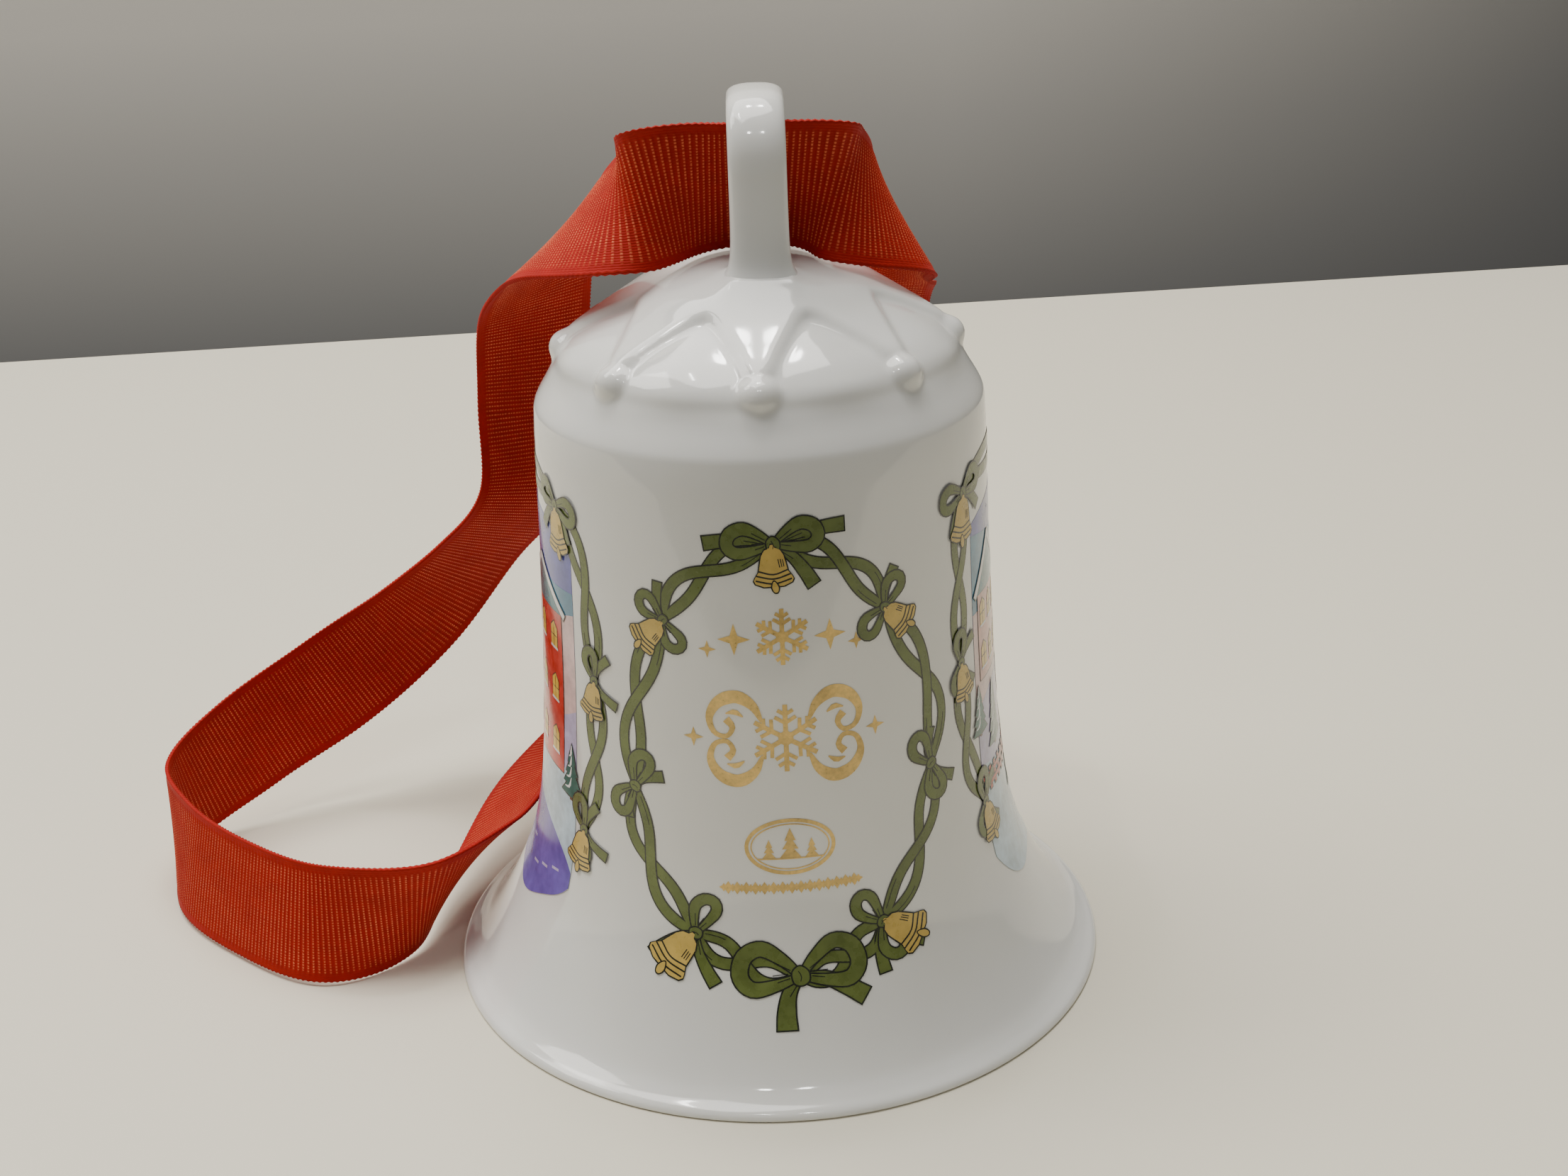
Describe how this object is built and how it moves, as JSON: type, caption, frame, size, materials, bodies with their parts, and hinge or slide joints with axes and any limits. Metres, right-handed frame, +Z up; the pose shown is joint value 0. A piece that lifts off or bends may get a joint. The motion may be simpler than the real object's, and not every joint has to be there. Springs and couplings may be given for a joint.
{
  "type": "christmas bell ornament",
  "caption": "Glazed porcelain bell with a scalloped crown, strap loop, swinging clapper and a red ribbon loop threaded through the strap.",
  "frame": {"origin": "centre of the foot ring, on the surface that the bell stands on", "axes": "+Z up along the bell's axis; the strap loop's opening faces +X and -X; the ribbon hangs behind the bell, at +Y, and lies on the table at -X"},
  "size_m": [0.1216, 0.0931, 0.105],
  "materials": {
    "porcelain": "glossy white glaze",
    "brass_wire": "drawn wire, satin",
    "red_ribbon": "ribbed grosgrain weave"
  },
  "bodies": {
    "bell": {"bell_body": "porcelain", "loop_handle": "porcelain", "hanger_eyelet": "porcelain", "hanging_ribbon": "red_ribbon"},
    "link": {"clapper_link": "brass_wire"},
    "clapper": {"clapper_rod": "brass_wire", "clapper_bead": "porcelain", "bead_stop": "brass_wire"}
  },
  "joints": [
    {"name": "link_swing", "type": "hinge", "parent": "bell", "child": "link", "pos_m": [0, 0, 0.0763], "axis": [1, 0, 0], "range_deg": [-5, 5]},
    {"name": "clapper_swing", "type": "hinge", "parent": "link", "child": "clapper", "pos_m": [0, 0, 0.0719], "axis": [0, 1, 0], "range_deg": [-19, 19]}
  ]
}
